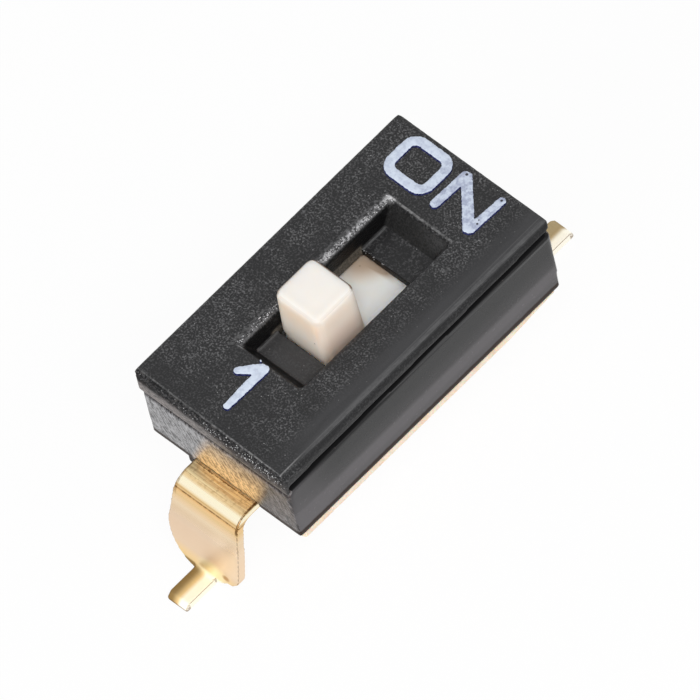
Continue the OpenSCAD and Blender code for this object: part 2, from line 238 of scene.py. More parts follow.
def whiteRays(tree):
    # 1 for the rays that see the white backdrop: straight, mirrored or through glass
    path = addNode(tree, "ShaderNodeLightPath")
    seen = calc(tree, "ADD", path.outputs["Is Camera Ray"], path.outputs["Is Glossy Ray"])
    return calc(tree, "ADD", seen, path.outputs["Is Transmission Ray"], clamp=True)


def makeStudio():
    world = bpy.data.worlds.new("studioSky")
    bpy.context.scene.world = world
    world.use_nodes = True
    tree = world.node_tree
    tree.nodes.clear()
    seen = addNode(tree, "ShaderNodeBackground", Color=(1, 1, 1, 1), Strength=1.0)
    lit = addNode(tree, "ShaderNodeBackground", Color=(1, 1, 1, 1), Strength=studio["sky"])
    mix = addNode(tree, "ShaderNodeMixShader", {0: whiteRays(tree), 1: lit.outputs[0], 2: seen.outputs[0]})
    addNode(tree, "ShaderNodeOutputWorld", {"Surface": mix.outputs[0]})
    for name, look in studio["lamps"].items():
        areaLamp(name, look)


def makeFloor():
    half = studio["floorSize"] * mm / 2
    mesh = bpy.data.meshes.new("floor")
    corners = [(-half, -half, 0), (half, -half, 0), (half, half, 0), (-half, half, 0)]
    mesh.from_pydata(corners, [], [(0, 1, 2, 3)])
    floor = bpy.data.objects.new("floor", mesh)
    bpy.context.scene.collection.objects.link(floor)
    material = bpy.data.materials.new("floorPaper")
    material.use_nodes = True
    tree = material.node_tree
    tree.nodes.clear()
    paper = addNode(tree, "ShaderNodeBsdfDiffuse", Color=(studio["floorTone"],) * 3 + (1,))
    glow = addNode(tree, "ShaderNodeEmission", Color=(1, 1, 1, 1), Strength=1.0)
    share = calc(tree, "MULTIPLY", whiteRays(tree), studio["floorLift"])
    mix = addNode(tree, "ShaderNodeMixShader", {0: share, 1: paper.outputs[0], 2: glow.outputs[0]})
    addNode(tree, "ShaderNodeOutputMaterial", {"Surface": mix.outputs[0]})
    mesh.materials.append(material)


makeStudio()
makeFloor()
bpy.context.scene.view_settings.view_transform = "Standard"
print("studio and floor made")


# shader groups that the finishes share

def makePebbleGroup():
    # moulded grain: uneven height, the same height made crisp, and a few bright points
    group, start, end = newGroup(
        "pebbleGrain", "ShaderNodeTree",
        [("Vector", "NodeSocketVector", None), ("Size", "NodeSocketFloat", 0.07),
         ("Points", "NodeSocketFloat", 0.1)],
        [("Height", "NodeSocketFloat"), ("Crisp", "NodeSocketFloat"), ("Glint", "NodeSocketFloat")])
    scaled = addNode(group, "ShaderNodeVectorMath", operation="DIVIDE")
    sizes = addNode(group, "ShaderNodeCombineXYZ", {0: start.outputs["Size"], 1: start.outputs["Size"],
                                                    2: start.outputs["Size"]})
    group.links.new(start.outputs["Vector"], scaled.inputs[0])
    group.links.new(sizes.outputs[0], scaled.inputs[1])
    cells = noise(group, scaled.outputs[0], 1.0, 2.0, 0.6)
    lumps = noise(group, scaled.outputs[0], 2.6, 2.0, 0.5, shift=(7, 3, 1))
    height = calc(group, "ADD", calc(group, "MULTIPLY", cells, 0.8), calc(group, "MULTIPLY", lumps, 0.2))
    group.links.new(height, end.inputs["Height"])
    group.links.new(ramp(group, height, 0.42, 0.62), end.inputs["Crisp"])
    dots = addNode(group, "ShaderNodeTexVoronoi", {"Vector": scaled.outputs[0]}, Scale=0.9, Randomness=1.0)
    near = calc(group, "LESS_THAN", dots.outputs["Distance"], 0.22)
    pick = addNode(group, "ShaderNodeSeparateColor", {0: dots.outputs["Color"]})
    chosen = calc(group, "LESS_THAN", pick.outputs[0], start.outputs["Points"])
    group.links.new(calc(group, "MULTIPLY", near, chosen), end.inputs["Glint"])
    return group


def makeStreakGroup():
    # fine lines drawn out along one axis: the Stretch vector gives the size of a streak
    group, start, end = newGroup(
        "fineStreaks", "ShaderNodeTree",
        [("Vector", "NodeSocketVector", None), ("Stretch", "NodeSocketVector", (1.0, 0.03, 0.03))],
        [("Height", "NodeSocketFloat"), ("Crisp", "NodeSocketFloat")])
    scaled = addNode(group, "ShaderNodeVectorMath", operation="DIVIDE")
    group.links.new(start.outputs["Vector"], scaled.inputs[0])
    group.links.new(start.outputs["Stretch"], scaled.inputs[1])
    lines = noise(group, scaled.outputs[0], 1.0, 2.5, 0.6)
    group.links.new(lines, end.inputs["Height"])
    group.links.new(ramp(group, lines, 0.42, 0.62), end.inputs["Crisp"])
    return group


pebbleGroup = makePebbleGroup()
streakGroup = makeStreakGroup()


class Finish:
    # a material with the things each finish needs: place in millimetres, surface direction, shader

    def __init__(self, name, colour, roughness, **shader):
        self.material = bpy.data.materials.new(name)
        self.material.use_nodes = True
        self.tree = self.material.node_tree
        self.shader = self.tree.nodes["Principled BSDF"]
        self.shader.inputs["Base Color"].default_value = colour + (1,)
        self.shader.inputs["Roughness"].default_value = roughness
        for key, value in shader.items():
            self.shader.inputs[key.replace("_", " ")].default_value = value
        self.colour = colour
        coords = addNode(self.tree, "ShaderNodeTexCoord")
        scale = addNode(self.tree, "ShaderNodeVectorMath", {0: coords.outputs["Object"]}, operation="SCALE")
        scale.inputs["Scale"].default_value = 1 / mm
        self.place = scale.outputs[0]
        split = addNode(self.tree, "ShaderNodeSeparateXYZ", {0: self.place})
        self.x, self.y, self.z = split.outputs
        geometry = addNode(self.tree, "ShaderNodeNewGeometry")
        facing = addNode(self.tree, "ShaderNodeSeparateXYZ", {0: geometry.outputs["True Normal"]})
        self.nx, self.ny, self.nz = facing.outputs

    def group(self, shared, **values):
        node = self.tree.nodes.new("ShaderNodeGroup")
        node.node_tree = shared
        self.tree.links.new(self.place, node.inputs["Vector"])
        for key, value in values.items():
            node.inputs[key].default_value = value
        return node.outputs

    def noise(self, size, detail, rough, stretch=(1, 1, 1)):
        return noise(self.tree, self.place, size, detail, rough, stretch)

    def step(self, value, low, high, outLow=0.0, outHigh=1.0):
        return ramp(self.tree, value, low, high, outLow, outHigh)

    def band(self, value, low, high, soft):
        # 1 between low and high, falling to 0 over soft outside them
        return self.times(self.step(value, low - soft, low), self.step(value, high, high + soft, 1, 0))

    def outside(self, mask, least=0.0):
        # 1 where the mask is 0, down to least where it is 1
        return self.step(mask, 0, 1, 1, least)

    def away(self, value):
        return calc(self.tree, "ABSOLUTE", value)

    def lean(self, value, slope, start):
        return calc(self.tree, "MULTIPLY_ADD", value, slope, start)

    def distance(self, place, point):
        node = addNode(self.tree, "ShaderNodeVectorMath", {0: place}, operation="DISTANCE")
        node.inputs[1].default_value = point
        return node.outputs["Value"]

    def near(self, point, radius, soft):
        return self.step(self.distance(self.place, point), radius, radius + soft, 1, 0)

    def times(self, *terms):
        result = terms[0]
        for term in terms[1:]:
            result = calc(self.tree, "MULTIPLY", result, term)
        return result

    def plus(self, *terms):
        result = terms[0]
        for term in terms[1:]:
            result = calc(self.tree, "ADD", result, term, clamp=True)
        return result

    def mix(self, share, first, second):
        # colours are tuples or sockets
        node = self.tree.nodes.new("ShaderNodeMix")
        node.data_type = "RGBA"
        for socket, term in ((node.inputs[0], share), (node.inputs[6], first), (node.inputs[7], second)):
            if isinstance(term, tuple):
                socket.default_value = term + (1,)
            elif isinstance(term, (int, float)):
                socket.default_value = term
            else:
                self.tree.links.new(term, socket)
        return node.outputs[2]

    def paint(self, colour, *masks):
        # lays a colour over the ones before it, where all the masks are
        self.colour = self.mix(self.times(*masks), self.colour, colour)

    def bump(self, height, depth, strength=1.0, under=None):
        # depth is in millimetres
        node = addNode(self.tree, "ShaderNodeBump", {"Height": height}, Strength=strength,
                       Distance=depth * mm)
        if under is not None:
            self.tree.links.new(under, node.inputs["Normal"])
        return node.outputs[0]

    def feed(self, name, source):
        self.tree.links.new(source, self.shader.inputs[name])

    def finish(self, roughness=None, normal=None):
        self.feed("Base Color", self.colour)
        if roughness is not None:
            self.feed("Roughness", roughness)
        if normal is not None:
            self.feed("Normal", normal)
        return self.material


# cover: black moulded plastic, grained in the middle and smoother towards its +X edge
coverLook = {"dark": (0.013, 0.013, 0.0138), "fleck": (0.108, 0.108, 0.111), "paintedSheen": (0.040, 0.040, 0.042),
             "glint": (0.5, 0.5, 0.5), "paintedEdgeGlints": (0.78, 0.78, 0.80), "paintedEdgeHighlight": (0.6, 0.6, 0.6),
             "paintedShoulderHighlight": (0.086, 0.086, 0.088), "endTone": (0.165, 0.135, 0.125), "torn": (0.16, 0.15, 0.145),
             "tornGlint": (0.7, 0.7, 0.7), "deep": (0.004, 0.004, 0.004), "farWall": (0.032, 0.032, 0.032),
             "farWallTop": (0.058, 0.058, 0.059), "lowWall": (0.115, 0.103, 0.086),
             "frontFloor": (0.070, 0.070, 0.072), "roughness": 0.6, "gloss": 0.44, "grain": 0.036,
             "grainDepth": 0.010, "glitter": 0.052, "glitterDepth": 0.02, "smoothFrom": 1.10,
             "smoothTo": 1.50, "wellEdge": -0.635, "wellFront": -1.78, "wellBack": 1.955}
coverFront = -halfLength


def topPaint(f, grain, smooth, onTop):
    # pale flecks in patches, fewer at the front and in the smooth part, with a painted soft sheen there
    look = coverLook
    patches = f.noise(0.5, 2.0, 0.5)
    streaks = f.group(streakGroup, Stretch=(0.14, 1.1, 0.3))
    f.paint(look["fleck"], f.step(grain["Height"], 0.46, 0.68), f.outside(smooth, 0.22),
            f.step(f.y, -2.4, -3.0, 1.0, 0.62), f.step(patches, 0.35, 0.65, 0.45, 1.3),
            f.step(f.z, coverTop - 0.3, coverTop - 0.1, 0.45, 1.0))
    # painted sheen: a pale streaky colour on the smooth part of the top
    f.paint(look["paintedSheen"], smooth, f.step(streaks["Height"], 0.3, 0.7, 0.65, 1.0), onTop)
    # painted glints: a few bright points on the top, fewer in the smooth part
    f.paint(look["glint"], grain["Glint"], onTop, f.step(smooth, 0, 1, 0.5, 0.15))


def wellEdgePaint(f, glitter):
    # painted highlight: a pale speckled strip of glints along the well's -X edge, where its rounding catches
    # the light, dimmer and narrower at its ends
    look = coverLook
    edge = look["wellEdge"]
    along = f.times(f.band(f.y, look["wellFront"], look["wellBack"], 0.04), f.step(f.y, -1.5, 0.5, 0.36, 1.0))
    narrow = calc(f.tree, "SUBTRACT", f.lean(f.y, -0.03, f.x), f.step(f.y, 0.2, -1.0, 0.0, 0.10))
    across = f.times(f.step(narrow, edge - 0.25, edge - 0.09), f.step(f.x, edge + 0.1, edge),
                     f.step(f.z, coverTop - 0.055, coverTop - 0.025))
    paintedEdgeGlints = f.plus(f.times(f.step(glitter["Height"], 0.47, 0.56), 0.66),
                     f.times(glitter["Glint"], 0.3), 0.06)
    f.paint(look["paintedEdgeGlints"], along, across, paintedEdgeGlints)
    # painted highlight: a thin pale line along the well's far end
    f.paint(look["paintedEdgeHighlight"], f.band(f.y, 1.948, 1.966, 0.020), f.band(f.x, -0.64, 0.72, 0.08),
            f.step(f.z, coverTop - 0.14, coverTop - 0.1), f.step(glitter["Height"], 0.40, 0.60, 0.35, 1.3),
            f.step(f.x, -0.4, 0.7, 1.0, 0.45), 0.2)


def topEdgePaint(f, glitter, shoulderStreaks, frontPlace, onTop):
    # painted highlights: thin pale lines where the top face breaks at the front and at the +X corner, and a
    # soft pale band on the +X shoulder
    frontHighlight = f.times(f.band(frontPlace, coverFront + 0.056, coverFront + 0.074, 0.012), onTop,
                        f.step(glitter["Height"], 0.42, 0.60, 0.5, 1.8), f.step(f.x, -1.5, 0.8, 0.8, 1.3))
    cornerHighlight = f.times(f.band(f.lean(f.y, 0.0108, f.x), 1.606, 1.616, 0.010), f.step(f.nz, 0.6, 0.8),
                         f.step(f.y, -2.6, -2.95, 0.18, 1.0), f.step(f.y, -3.32, -3.22))
    f.paint(coverLook["paintedEdgeHighlight"], f.plus(f.times(frontHighlight, 0.10), f.times(cornerHighlight, 0.22)))
    # painted highlight: a soft pale band on the rounded +X shoulder, broken up by streaks
    f.paint(coverLook["paintedShoulderHighlight"], f.band(f.nx, 0.38, 0.60, 0.20), f.step(f.nz, 0.45, 0.75),
            f.step(shoulderStreaks, 0.36, 0.64, 0.6, 1.15), f.step(f.y, -3.1, -2.0, 0.1, 1.0), 0.70)


def frontWallPaint(f, glitter, frontPlace):
    # a dark torn band under the top edge, then a speckled band that grows lighter downwards
    look = coverLook
    atFront = f.step(f.y, coverFront + 0.3, coverFront + 0.2)
    reach = calc(f.tree, "ADD", f.z, f.step(f.x, -0.3, 0.7, 0.0, 0.20))      # the torn band widens to +X
    torn = f.times(f.step(frontPlace, coverFront + 0.07, coverFront + 0.04), atFront,
                   f.step(reach, coverTop - 0.32, coverTop - 0.20))
    drawn = f.noise(0.035, 3.0, 0.65, stretch=(5, 1, 1))
    lighter = f.times(f.step(f.ny, -0.35, -0.75), atFront, f.step(f.z, coverTop - 0.14, coverTop - 0.46),
                      f.step(glitter["Height"], 0.36, 0.64, 0.45, 1.2), f.step(drawn, 0.38, 0.58, 0.25, 1.15),
                      f.step(f.x, -0.3, 0.8, 1.0, 0.4))
    f.paint(look["endTone"], lighter)
    f.paint(look["torn"], torn, f.step(glitter["Height"], 0.52, 0.62), 0.30)
    # painted glints on the torn band
    f.paint(look["tornGlint"], torn, glitter["Glint"], f.step(f.x, -0.6, 1.2, 0.15, 0.9))
    return torn, lighter


def wellPaint(f, grain, onTop):
    # painted shade darkens the well's walls to near black, and painted light shows where its far end wall and
    # the foot of its -X wall catch some light
    look = coverLook
    inWell = f.times(f.step(f.z, coverTop - 0.05, coverTop - 0.1), f.step(f.nz, 0.9, 0.6),
                     f.step(f.away(f.x), 1.0, 0.9), f.step(f.away(f.y), 2.6, 2.4))
    # painted shade inside the well
    f.paint(look["deep"], inWell, 0.85)
    # painted light on the well's far end wall, paler at its top towards +X
    farWall = f.times(inWell, f.step(f.ny, -0.3, -0.7), f.step(f.y, 1.2, 1.6))
    f.paint(look["farWall"], farWall, f.step(grain["Height"], 0.36, 0.62, 0.45, 1.0),
            f.step(f.x, -0.72, -0.4, 0.5, 1.0))
    f.paint(look["farWallTop"], farWall, f.step(f.z, coverTop - 0.5, coverTop - 0.12), f.step(f.x, -0.1, 0.6),
            f.step(grain["Height"], 0.36, 0.62, 0.3, 1.0))
    # painted light at the foot of the well's -X wall
    f.paint(look["lowWall"], inWell, f.step(f.nx, 0.5, 0.8), f.step(f.z, coverTop - 0.36, coverTop - 0.44),
            f.step(f.away(f.y), 1.15, 1.05), f.step(grain["Height"], 0.36, 0.62, 0.5, 1.0))
    f.paint(look["frontFloor"], f.step(f.z, coverTop - 0.2, coverTop - 0.3), f.step(f.y, -0.7, -0.9),
            onTop, 0.5)
    return inWell


def coverFinish():
    look = coverLook
    f = Finish("coverPlastic", look["dark"], look["roughness"], Specular_IOR_Level=0.08, Coat_Roughness=0.38)
    grain = f.group(pebbleGroup, Size=look["grain"], Points=0.03)
    glitter = f.group(pebbleGroup, Size=look["glitter"], Points=0.45)
    # streaks that break up the painted shoulder highlight
    shoulderStreaks = f.noise(0.05, 3.0, 0.65, stretch=(1, 5, 1))
    smooth = f.times(f.step(f.x, look["smoothFrom"], look["smoothTo"]), f.step(f.y, -3.1, -2.3, 0.25, 1.0))
    onTop = f.step(f.nz, 0.7, 0.95)
    frontPlace = f.lean(f.x, 0.02, f.y)                                # the front edge runs a little askew
    topPaint(f, grain, smooth, onTop)
    wellEdgePaint(f, glitter)
    topEdgePaint(f, glitter, shoulderStreaks, frontPlace, onTop)
    torn, lighter = frontWallPaint(f, glitter, frontPlace)
    inWell = wellPaint(f, grain, onTop)
    # the gloss is weak on torn plastic, in the well and under the +X edge
    gloss = f.plus(f.times(onTop, look["gloss"] - 0.22), f.times(lighter, 0.45), 0.22)
    underSide = f.times(f.step(f.nx, 0.8, 0.95), f.step(f.z, coverTop - 0.08, coverTop - 0.15))
    f.feed("Coat Weight", f.times(gloss, f.outside(underSide, 0.6), f.outside(torn, 0.12),
                                  f.outside(inWell, 0.1)))
    fine = f.bump(grain["Height"], look["grainDepth"])
    return f.finish(f.plus(f.times(onTop, 0.2), f.times(torn, 0.3), 0.4),
                    f.bump(glitter["Height"], look["glitterDepth"], under=fine, strength=0.5))


# base: smooth black plastic, with scratched end walls
baseLook = {"upper": (0.010, 0.010, 0.0105), "lower": (0.083, 0.077, 0.082), "edge": (0.022, 0.012, 0.008),
            "paintedBrowHighlight": (0.055, 0.055, 0.056), "endLeft": (0.185, 0.182, 0.188),
            "endRight": (0.062, 0.048, 0.045), "endDark": (0.010, 0.010, 0.011),
            "endBright": (0.42, 0.42, 0.44), "glow": (0.90, 0.58, 0.27),
            "glowDark": (0.36, 0.20, 0.08), "height": 1.93, "roughness": 0.26, "gloss": 0.37}
baseBottom = coverTop - baseLook["height"]


def goldGlow(f):
    # warm light that the terminals throw up on the end walls, leaning the way they splay
    side = addNode(f.tree, "ShaderNodeMath", {0: f.y}, operation="SIGN").outputs[0]
    across = f.times(f.x, side, -1.0)
    height = calc(f.tree, "SUBTRACT", f.z, baseBottom + 0.1)
    wide = f.step(f.away(f.lean(height, -0.44, across)), 0.54, 0.84, 1.0, 0.0)
    fade = f.plus(f.step(height, 0.35, 0.85, 0.45, 0.0), f.step(height, 0.75, 1.45, 0.55, 0.0))
    return f.times(wide, fade, f.step(f.away(f.ny), 0.4, 0.8))


def scratchLines(f):
    # long scratches that sweep down the end walls in shallow arcs about a far centre
    radius = f.distance(f.place, (-19.3, -3.25, -4.3))
    turned = addNode(f.tree, "ShaderNodeCombineXYZ", {0: radius, 1: f.y, 2: f.z})
    return noise(f.tree, turned.outputs[0], 0.040, 3.0, 0.7, stretch=(1, 40, 6))


def baseFinish():
    look = baseLook
    f = Finish("basePlastic", look["upper"], look["roughness"], Specular_IOR_Level=0.06, Coat_Roughness=0.2)
    grain = f.group(pebbleGroup, Size=0.09, Points=0.02)
    crumbs = f.group(pebbleGroup, Size=0.07, Points=0.1)
    endWall = f.step(f.away(f.ny), 0.30, 0.50)
    height = calc(f.tree, "SUBTRACT", f.z, baseBottom)
    # painted reflection: the long walls grow lighter downwards, most of all in their lower third, and towards
    # the front corner
    low = f.plus(f.step(height, 1.15, 0.66, 0.0, 0.25), f.step(height, 0.74, 0.54, 0.0, 0.80),
                 f.step(height, 0.40, 0.24, 0.0, -0.25), f.step(f.y, -2.0, -3.1, 0.0, 0.45))
    f.paint(look["lower"], low, f.step(f.away(f.nx), 0.5, 0.85))
    # the end walls go from pale to dark towards +X, with bright and dark scratches and the warm glow
    scratched = f.lean(crumbs["Height"], 0.4, f.times(scratchLines(f), 0.6))
    endTone = f.mix(f.step(f.x, -0.5, 1.0), look["endLeft"], look["endRight"])
    bright = f.times(f.step(scratched, 0.50, 0.58), f.step(f.x, -0.5, 1.0, 0.55, 0.22))
    endTone = f.mix(bright, endTone, look["endBright"])
    f.paint(f.mix(f.step(scratched, 0.51, 0.43), endTone, look["endDark"]), endWall)
    f.paint(f.mix(f.step(scratched, 0.54, 0.44), look["glow"], look["glowDark"]), goldGlow(f))
    # dark bottom rim beside the terminals, a broken dark seam under the cover, and a painted highlight on the
    # top rounding
    rim = f.times(f.step(f.lean(crumbs["Height"], -0.06, height), 0.16, 0.11),
                  f.step(f.away(f.x), 0.72, 0.80))
    seam = f.times(f.band(f.z, coverTop - 0.638, coverTop - 0.618, 0.012), endWall,
                   f.step(crumbs["Height"], 0.40, 0.56), f.step(f.x, -0.6, 0.8, 0.55, 0.3))
    f.paint(look["edge"], rim)
    f.paint(look["edge"], seam)
    # painted highlight on the top rounding
    f.paint(look["paintedBrowHighlight"], f.band(f.z, coverTop - 0.475, coverTop - 0.432, 0.02), f.step(f.nx, 0.1, 0.5),
            0.8)
    top = f.times(f.step(f.nz, 0.7, 0.92), f.outside(endWall))
    gloss = f.plus(f.times(endWall, f.step(f.x, -0.5, 1.1, 0.20, 0.08)), look["gloss"])
    f.feed("Coat Weight", f.times(gloss, f.outside(f.plus(rim, seam), 0.1), f.outside(top, 0.4)))
    return f.finish(f.plus(f.times(grain["Height"], 0.18), f.times(endWall, 0.14), look["roughness"] - 0.1),
                    f.bump(f.times(scratched, endWall), 0.03, under=f.bump(grain["Height"], 0.0018)))


# slider: warm white plastic that lets some light through
sliderLook = {"top": (0.88, 0.845, 0.80), "under": (0.98, 0.76, 0.60), "low": (0.97, 0.81, 0.70),
              "plate": (1.0, 0.955, 0.88), "paintedPlateHighlight": (1.0, 0.99, 0.97), "paintedBrownShade": (0.44, 0.29, 0.18),
              "topNear": (0.77, 0.735, 0.69), "paintedTopCornerShade": (0.66, 0.63, 0.60), "ridge": (0.72, 0.665, 0.61),
              "corner": (0.72, 0.59, 0.48), "farEdge": (0.11, 0.055, 0.025), "roughness": 0.45,
              "plateDepth": 0.72,
              "specksAndShadow": (((0.24, -0.92, 0.133), 0.008, 0.012, 0.7, (0.14, 0.10, 0.09)),
                         ((-0.58, -0.90, 0.72), 0.07, 0.03, 0.9, (0.05, 0.045, 0.04)),
                         ((-0.53, 0.90, 0.72), 0.012, 0.03, 0.8, (0.10, 0.07, 0.05)))}


def knobPaint(f):
    # painted shade: the sides are warmer than the top, and its near edges, ridge and front corner are shaded
    look = sliderLook
    nearTop = f.step(f.z, knobTop - 0.12, knobTop - 0.06)
    ridge = f.times(f.band(f.nz, 0.45, 0.78, 0.20), nearTop)
    # painted shade: brown at the foot of the +X face
    f.paint(look["paintedBrownShade"], f.step(f.nx, 0.5, 0.9), f.step(f.z, coverTop + 0.12, coverTop - 0.25), 0.25)
    # painted shade on the top's near +X corner
    f.paint(look["paintedTopCornerShade"], f.near((0.40, -0.92, knobTop), 0.06, 0.16), 0.8)
    # painted shade along the top's near edges
    f.paint(look["topNear"], f.plus(f.step(f.x, 0.08, 0.42), f.step(f.y, -0.56, -0.92)),
            f.step(f.nz, 0.5, 0.9), nearTop, 0.55)
    # painted shade on the rounded ridge round the top
    f.paint(look["ridge"], ridge, 0.8)
    # painted shade on the upright corner between the -Y and +X faces
    f.paint(look["corner"], f.step(f.nx, 0.05, 0.5), f.step(f.ny, -0.05, -0.5), f.step(f.nz, 0.5, 0.3),
            0.45)
    # painted shade: a thin brown line along the far upper edges
    farSides = f.plus(f.times(f.step(f.nx, -0.35, -0.55), 0.6, f.step(f.nz, 0.2, 0.4)),
                      f.times(f.step(f.ny, 0.35, 0.6), f.step(f.nz, 0.2, 0.4)))
    f.paint(look["farEdge"], farSides, nearTop, 0.9)
    return ridge


def sliderFinish():
    look = sliderLook
    f = Finish("sliderPlastic", look["top"], look["roughness"], Subsurface_Weight=0.9,
               Subsurface_Scale=0.3 * mm, Specular_IOR_Level=0.12)
    f.shader.inputs["Subsurface Radius"].default_value = (1.0, 0.88, 0.76)
    grain = f.group(pebbleGroup, Size=0.12, Points=0.0)
    sideways = f.step(f.nz, 0.98, 0.55)
    onPlate = f.step(f.z, coverTop - 0.62, coverTop - 0.68)
    # painted shade and light: a warm shade on the sides below the top edge, and paler lower sides where light
    # comes through the plastic
    f.paint(look["under"], sideways, f.step(f.z, knobTop, knobTop - 0.28, 0.35, 1.0),
            f.step(f.nx, 0.4, 0.9, 1.0, 0.6))
    f.paint(look["low"], sideways, f.step(f.z, coverTop + 0.30, coverTop - 0.2))
    # painted light: the plate, down in the slot, is painted paler than the knob's top
    f.paint(look["plate"], onPlate)
    # painted highlight: a bright line along the plate's +X edge
    f.paint(look["paintedPlateHighlight"], onPlate, f.band(f.x, 0.315, 0.37, 0.02))
    ridge = knobPaint(f)
    # the plate's far corner is in brown shade
    shade = f.plus(f.near((-0.72, 1.18, coverTop - look["plateDepth"]), 0.3, 0.5),
                   f.times(f.step(f.y, 0.95, 1.06), f.step(f.x, 0.3, -0.2)))
    f.paint(look["paintedBrownShade"], onPlate, shade, 0.8)
    # a small dark dot low on the knob's -Y face, a painted shadow on the plate beside the knob's front -X
    # foot, and a small dark mark on the plate towards its +Y end
    for (x, y, depth), radius, soft, share, colour in look["specksAndShadow"]:
        f.paint(colour, f.near((x, y, coverTop - depth), radius, soft), share)
    return f.finish(f.plus(f.lean(grain["Height"], 0.12, look["roughness"] - 0.06), f.times(ridge, 0.35)),
                    f.bump(grain["Height"], 0.0012))


# gold plating, coloured by height with painted reflections: the blade is painted paler and rosier than the
# stub, with painted bright and dark reflection lines at the bend
goldLook = {"heights": ((0.00, (0.72, 0.50, 0.22)), (0.20, (0.82, 0.60, 0.27)), (0.30, (0.90, 0.66, 0.33)),
                        (0.50, (0.82, 0.63, 0.45)), (1.05, (0.79, 0.60, 0.43)), (1.27, (0.76, 0.57, 0.37)),
                        (1.42, (0.84, 0.66, 0.44)), (1.52, (0.85, 0.62, 0.37)), (1.63, (0.80, 0.56, 0.27)),
                        (1.69, (0.86, 0.58, 0.29)), (1.735, (0.78, 0.49, 0.21)), (1.752, (0.40, 0.21, 0.07)),
                        (1.769, (0.84, 0.60, 0.31)), (1.795, (0.62, 0.39, 0.16)), (1.81, (0.90, 0.72, 0.44)),
                        (1.84, (0.96, 0.87, 0.66)), (1.90, (0.97, 0.89, 0.65)), (1.925, (0.84, 0.62, 0.33)),
                        (1.945, (0.97, 0.80, 0.47))),
            "span": 2.0, "plain": (0.8, 0.6, 0.4), "cloud": (0.86, 0.67, 0.47),
            "stubStreak": (0.64, 0.43, 0.21), "stubMottle": (0.48, 0.31, 0.13),
            "footDark": (0.34, 0.225, 0.083), "footPale": (1.0, 0.97, 0.88), "rearFoot": (0.30, 0.20, 0.09),
            "spread": (0.94, 0.74, 0.53), "paintedNeckHighlight": (1.0, 0.93, 0.64), "crease": (0.45, 0.22, 0.06),
            "outline": (0.20, 0.10, 0.03), "roughness": 0.2}


def heightColours(f, height):
    bands = f.tree.nodes.new("ShaderNodeValToRGB")
    f.tree.links.new(calc(f.tree, "DIVIDE", height, goldLook["span"]), bands.inputs[0])
    stops = bands.color_ramp.elements
    while len(stops) < len(goldLook["heights"]):
        stops.new(0.5)
    for stop, (level, colour) in zip(stops, goldLook["heights"]):
        stop.position = level / goldLook["span"]
        stop.color = colour + (1,)
    return bands.outputs[0]


def footPaint(f, onFoot):
    # painted reflections: the foot is dark on its -X half and bright on the other, and the rear one darker
    # still
    look = goldLook
    f.paint(look["footDark"], onFoot, f.step(f.x, 0.02, -0.14))
    f.paint(look["footPale"], onFoot, f.step(f.x, -0.02, 0.08))
    f.paint(look["rearFoot"], onFoot, f.step(f.x, 0.12, -0.02), f.step(f.y, 0, 1), 0.9)
    # painted reflection: the blade's lower +X part is paler
    f.paint(look["spread"], f.step(f.x, 0.0, 0.45), f.step(f.z, 1.5, 1.1), f.step(f.z, 0.35, 0.6), 0.7)


def neckPaint(f):
    # a painted warm highlight and a dark crease where the strip leaves the blade, mirrored at the rear
    # terminal
    look = goldLook
    side = addNode(f.tree, "ShaderNodeMath", {0: f.y}, operation="SIGN").outputs[0]
    across = f.times(f.x, side, -1.0)
    mirrored = addNode(f.tree, "ShaderNodeCombineXYZ", {0: across, 1: f.z, 2: f.z}).outputs[0]
    f.paint(look["paintedNeckHighlight"], f.step(f.distance(mirrored, (0.16, 0.30, 0.30)), 0.14, 0.42, 1, 0),
            f.step(f.z, 0.16, 0.24, 0.3, 0.75))
    f.paint(look["crease"], f.step(f.distance(mirrored, (0.47, 0.37, 0.37)), 0.03, 0.11, 1, 0), 0.8)


def outlinePaint(f, mottle, uneven, onStub):
    # painted shade: thin dark lines along the sheet's edges, at the foot's end, at the crimp, and where the
    # stub meets the wall
    turned = f.away(f.nx)
    length = f.away(f.y)
    flatSide = f.step(turned, 0.92, 0.8)
    edges = f.plus(f.times(f.step(turned, 0.25, 0.45), flatSide),
                   f.times(f.step(length, 4.66, 4.68), f.step(f.nz, 0.3, 0.1)))
    bendEdge = f.times(f.step(f.away(f.x), 0.670, 0.688), flatSide, f.step(f.z, 1.55, 1.7),
                       f.step(mottle, 0.36, 0.50, 0.45, 1.0), f.step(f.x, -0.6, 0.6, 0.5, 1.0))
    dots = f.plus(f.times(f.band(length, 3.216, 3.224, 0.005), f.step(mottle, 0.40, 0.47)),
                  f.times(f.band(length, 3.208, 3.232, 0.006), f.step(mottle, 0.58, 0.62)))
    crimp = f.times(f.band(uneven, 1.742, 1.756, 0.008), f.step(mottle, 0.46, 0.55),
                    f.step(length, 3.45, 3.5))
    contact = f.plus(f.times(dots, onStub), f.times(crimp, 0.85))
    f.paint(goldLook["outline"], f.plus(f.times(f.plus(edges, bendEdge), f.step(f.z, 1.4, 1.6, 0.55, 0.95)),
                                        f.times(contact, 0.95)))


